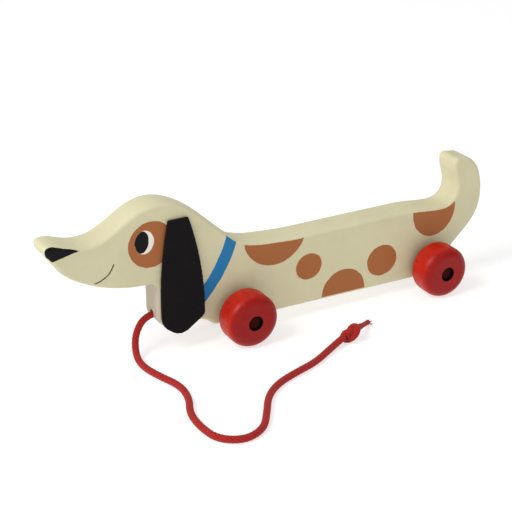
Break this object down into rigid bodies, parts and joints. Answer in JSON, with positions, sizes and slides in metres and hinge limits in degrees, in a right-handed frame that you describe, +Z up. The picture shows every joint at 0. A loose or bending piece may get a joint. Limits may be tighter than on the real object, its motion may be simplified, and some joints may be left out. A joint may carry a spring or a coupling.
{
  "type": "pull-along toy dog",
  "caption": "Flat wooden sausage dog on fat turned wheels, with hanging felt ears and a knotted pull cord from its chest.",
  "frame": {"origin": "on the floor under the middle of the dog, measured without its cord", "axes": "+X towards the nose, +Y the dog's left side, +Z up"},
  "size_m": [0.322, 0.163, 0.1025],
  "materials": {
    "painted_board": "satin cream paint with brown spots and a blue collar",
    "red_lacquer": "gloss red paint",
    "dark_dowel": "dark stain, matte",
    "plain_wood": "sanded, unfinished",
    "black_felt": "felt",
    "red_cord": "braided cotton"
  },
  "bodies": {
    "dog": {"body_board": "painted_board", "pull_cord": "red_cord", "cord_stop_knot": "red_cord", "cord_end_knot": "red_cord"},
    "front_wheelset": {"front_axle": "dark_dowel", "front_left_wheel": "red_lacquer", "front_left_washer": "plain_wood", "front_right_wheel": "red_lacquer", "front_right_washer": "plain_wood"},
    "rear_wheelset": {"rear_axle": "dark_dowel", "rear_left_wheel": "red_lacquer", "rear_left_washer": "plain_wood", "rear_right_wheel": "red_lacquer", "rear_right_washer": "plain_wood"},
    "left_ear_flap": {"left_ear": "black_felt"},
    "right_ear_flap": {"right_ear": "black_felt"}
  },
  "joints": [
    {"name": "front_wheels_turn", "type": "hinge", "parent": "dog", "child": "front_wheelset", "pos_m": [0.032, 0, 0.018], "axis": [0, 1, 0], "continuous": true},
    {"name": "rear_wheels_turn", "type": "hinge", "parent": "dog", "child": "rear_wheelset", "pos_m": [-0.118, 0, 0.018], "axis": [0, 1, 0], "continuous": true},
    {"name": "left_ear_lifts", "type": "hinge", "parent": "dog", "child": "left_ear_flap", "pos_m": [0.07435, 0.01015, 0.0908], "axis": [1, 0, 0], "range_deg": [0, 80]},
    {"name": "right_ear_lifts", "type": "hinge", "parent": "dog", "child": "right_ear_flap", "pos_m": [0.07235, -0.01015, 0.0908], "axis": [-1, 0, 0], "range_deg": [0, 80]}
  ]
}
